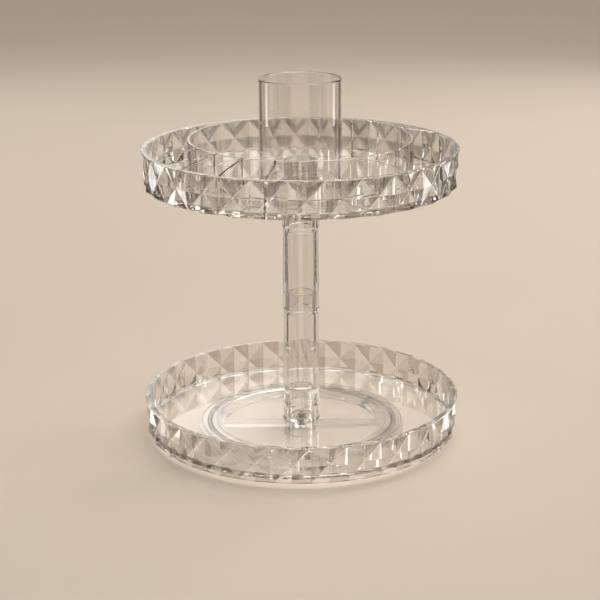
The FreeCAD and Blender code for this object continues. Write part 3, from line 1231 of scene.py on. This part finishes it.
@dataclass(frozen=True)
class Flag:
    """Dark card that stands beside the stage, bent about the pivot axis; only reflections show it."""

    name: str
    span: Span
    radius: float
    height: float
    lift: float = 0.001
    stations: int = 9
    colour: Colour = (0.014, 0.009, 0.006)
    roughness: float = 0.9

    def material(self) -> bpy.types.Material:
        """Dark felt for light that has been reflected, and nothing for the rest."""
        material, bench = new_material(self.name)
        matt = {"Base Color": opaque(self.colour), "Roughness": self.roughness}
        felt = bench.add("BsdfPrincipled", inputs=matt)["BSDF"]
        gone = bench.add("BsdfTransparent")["BSDF"]
        reflections = bench.add("LightPath")["Glossy Depth"]
        surface = bench.add("MixShader", inputs={"Fac": reflections}, shaders=(gone, felt))["Shader"]
        bench.add("OutputMaterial", inputs={"Surface": surface})
        return material

    def build(self) -> bpy.types.Object:
        """Stands the card up."""
        draft = MeshDraft()
        profile = np.array([(self.radius, self.lift), (self.radius, self.height)])
        draft.add_grid(carried_round(profile, np.radians(np.linspace(*self.span, self.stations))))
        mesh = draft.mesh(self.name)
        mesh.materials.append(self.material())
        card = hang(self.name, mesh)
        card.visible_camera = False
        card.visible_diffuse = False
        card.visible_shadow = False
        return card


@dataclass
class Studio:
    """Wide pale floor, soft lamps, dark cards all round, dim surroundings and the camera.

    A panel is its place across and away, its width and its radiance.  The spans of the cards are degrees.
    """

    floor_colour: Colour = (0.58, 0.505, 0.425)
    floor_fleck: Colour = (0.56, 0.485, 0.405)
    floor_radius: float = 6.0
    floor_sides: int = 64
    fleck_scale: float = 6.0
    fleck_detail: float = 2.0
    camera_place: Place = (-0.00074, -1.1138, 0.4465)
    camera_pitch: float = math.radians(17.21)
    camera_roll: float = math.radians(-0.286)
    sensor_width: float = 36.0
    focal_pixels: float = 1570.7
    image_pixels: float = 600.0
    backdrop: Colour = (0.54, 0.49, 0.43)
    backdrop_top: float = 0.42
    surround_low: Colour = (0.05, 0.04, 0.03)
    low_height: float = 0.62
    surround_high: Colour = (0.14, 0.13, 0.12)
    high_height: float = 0.95
    lamp_aim: Place = (0.0, 0.0, 0.12)
    sky: SoftSky = SoftSky("sky", (0.35, 0.30, 1.0), math.radians(50.0), 1.35, DAYLIGHT)
    lamps: tuple[SoftBox, ...] = (
        SoftBox("overhead", (0.2, 0.2, 1.75), 1.1, 1.1, 8.0, DAYLIGHT),
        SoftBox("key", (0.85, 0.75, 1.30), 0.25, 0.25, 5.0, WARM_LIGHT),
    )
    right_strips: tuple[SoftBox, ...] = (
        SoftBox("strip", (0.27, 0.05, 0.13), 0.05, 0.24, 0.13, PANEL_LIGHT, True),
        SoftBox("low_strip", (0.15, -0.01, 0.012), 0.10, 0.02, 0.03, PANEL_LIGHT, True),
    )
    panels: tuple[tuple[float, float, float, float], ...] = (
        (-0.26, 1.60, 0.50, 0.58), (0.70, 1.55, 0.45, 2.4), (-1.15, 1.40, 0.45, 2.6),
        (1.55, 0.95, 0.40, 3.0), (-1.70, 0.45, 0.40, 1.7), (1.80, -0.10, 0.40, 1.7),
        (0.36, 1.60, 0.03, 3.0), (-0.78, 1.55, 0.03, 6.0), (1.15, 1.35, 0.03, 6.0),
        (-1.45, 0.95, 0.03, 6.0), (0.55, -1.70, 0.45, 1.6), (-0.85, -1.55, 0.45, 1.6),
        (1.40, -1.05, 0.40, 1.6), (-1.60, -0.75, 0.40, 1.6),
    )
    panel_middle: float = 0.72
    panel_height: float = 0.70
    card_spans: tuple[Span, ...] = (
        (20.0, 34.0), (37.0, 50.0), (53.0, 61.0), (119.0, 127.0), (130.0, 143.0), (146.0, 160.0),
        (192.0, 212.0), (218.0, 244.0), (296.0, 322.0), (328.0, 348.0),
    )
    card_radius: float = 0.36
    card_height: float = 0.42
    low_card_spans: tuple[Span, ...] = (
        (14.0, 27.0), (30.0, 44.0), (136.0, 150.0), (153.0, 166.0), (200.0, 222.0), (230.0, 252.0),
        (288.0, 310.0), (318.0, 340.0),
    )
    low_card_radius: float = 0.20
    low_card_height: float = 0.10
    light_bounces: int = 32

    def floor_material(self) -> bpy.types.Material:
        """Matt paper with a faint fleck, clear from below."""
        material, bench = new_material("studio_floor")
        fleck = bench.noise(self.fleck_scale, self.fleck_detail)
        colour = bench.blend(fleck, opaque(self.floor_colour), opaque(self.floor_fleck))
        matt = {"Base Color": colour, "Roughness": 1.0, "Specular IOR Level": 0.0}
        paper = bench.add("BsdfPrincipled", inputs=matt)["BSDF"]
        below = bench.add("NewGeometry")["Backfacing"]
        gone = bench.add("BsdfTransparent")["BSDF"]
        surface = bench.add("MixShader", inputs={"Fac": below}, shaders=(paper, gone))["Shader"]
        bench.add("OutputMaterial", inputs={"Surface": surface})
        return material

    def build_floor(self) -> bpy.types.Object:
        """Lays the floor, a disc about the pivot axis.

        Returns:
            The floor.
        """
        draft = MeshDraft()
        profile = np.array([(self.floor_radius, 0.0), (0.0, 0.0)])
        draft.add_grid(carried_round(profile, even_turns(self.floor_sides)), close_rows=True)
        mesh = draft.mesh("floor")
        mesh.materials.append(self.floor_material())
        floor = hang("floor", mesh)
        return floor

    def build_surroundings(self) -> None:
        """Backdrop that is pale round the horizon and dim above it, for every kind of ray."""
        world = bpy.data.worlds.new("surroundings")
        world.use_nodes = True
        bpy.context.scene.world = world
        bench = NodeBench(world.node_tree)
        direction = bench.add("TexCoord")["Generated"]
        height = bench.add("SeparateXYZ", inputs={"Vector": direction})["Z"]
        stops = [
            (0.0, self.backdrop),
            (self.backdrop_top, self.backdrop),
            (self.low_height, self.surround_low),
            (self.high_height, self.surround_high),
        ]
        colour = bench.add("ValToRGB", {"stops": stops}, {"Fac": height})["Color"]
        background = bench.add("Background", inputs={"Color": colour, "Strength": 1.0})["Background"]
        bench.add("OutputWorld", inputs={"Surface": background})

    def build_lamps(self) -> None:
        """Soft light from above, a small key from the back right, strips at both sides, panels all round."""
        self.sky.build()
        boxes = list(self.lamps)
        for side, sign in (("left", -1.0), ("right", 1.0)):
            for strip in self.right_strips:
                across, away, up = strip.place
                boxes.append(replace(strip, name=f"{side}_{strip.name}", place=(sign * across, away, up)))
        for number, (across, away, width, radiance) in enumerate(self.panels, 1):
            power = radiance * math.pi * width * self.panel_height
            place = (across, away, self.panel_middle)
            boxes.append(SoftBox(f"panel_{number}", place, width, self.panel_height, power, PANEL_LIGHT))
        for box in boxes:
            box.build(Vector(self.lamp_aim))

    def build_flags(self) -> None:
        """Dark cards round the object, with gaps between them, and low ones closer to it."""
        for number, span in enumerate(self.card_spans, 1):
            Flag(f"flag_{number}", span, self.card_radius, self.card_height).build()
        for number, span in enumerate(self.low_card_spans, 1):
            Flag(f"low_flag_{number}", span, self.low_card_radius, self.low_card_height).build()

    def build_camera(self) -> bpy.types.Object:
        """Camera that looks along +Y, tipped down by the pitch and turned about its own axis by the roll."""
        camera = bpy.data.cameras.new("camera")
        camera.sensor_width = self.sensor_width
        camera.lens = self.sensor_width * self.focal_pixels / self.image_pixels
        holder = hang("camera", camera)
        holder.location = self.camera_place
        tip = Matrix.Rotation(math.pi / 2.0 - self.camera_pitch, 3, "X")
        roll = Matrix.Rotation(self.camera_roll, 3, "Z")
        holder.rotation_euler = (tip @ roll).to_euler()
        bpy.context.scene.camera = holder
        return holder

    def build(self) -> None:
        """Sets the stage and the light paths that clear plastic needs."""
        self.build_floor()
        self.build_surroundings()
        self.build_lamps()
        self.build_flags()
        self.build_camera()
        scene = bpy.context.scene
        scene.view_settings.view_transform = "Standard"
        scene.cycles.max_bounces = self.light_bounces
        scene.cycles.transmission_bounces = self.light_bounces
        scene.cycles.glossy_bounces = self.light_bounces
        scene.cycles.transparent_max_bounces = self.light_bounces


def main() -> None:
    """Builds the sub-assemblies in order, then the stage."""
    logging.basicConfig(level=logging.INFO, format="%(message)s")
    tray_plastic = ClearPlastic("clear_tray").material()
    # The column plastic carries the dark brown painted shade of the hub cap flutes.
    column_plastic = ClearPlastic("clear_column", painted_shade_colour=FLUTE_PAINTED_SHADE).material()
    cup_plastic = ClearPlastic("clear_cup").material()
    base_plastic = ClearPlastic("base_plastic", haze=BASE_HAZE).material()
    Turntable(
        base_plastic,
        SoftPad("pad_silicone").material(),
        Steel("ball_steel").material(),
        Steel("screw_steel", SCREW_BRIGHT, SCREW_STAINED, SCREW_ROUGHNESS).material(),
        Steel("washer_steel", roughness=WASHER_ROUGHNESS).material(),
    ).build()
    LowerTray(tray_plastic).build()
    Column(column_plastic).build()
    UpperTray(tray_plastic).build()
    HubCap(column_plastic).build()
    BrushCup(cup_plastic).build()
    Studio().build()


if __name__ == "__main__":
    main()
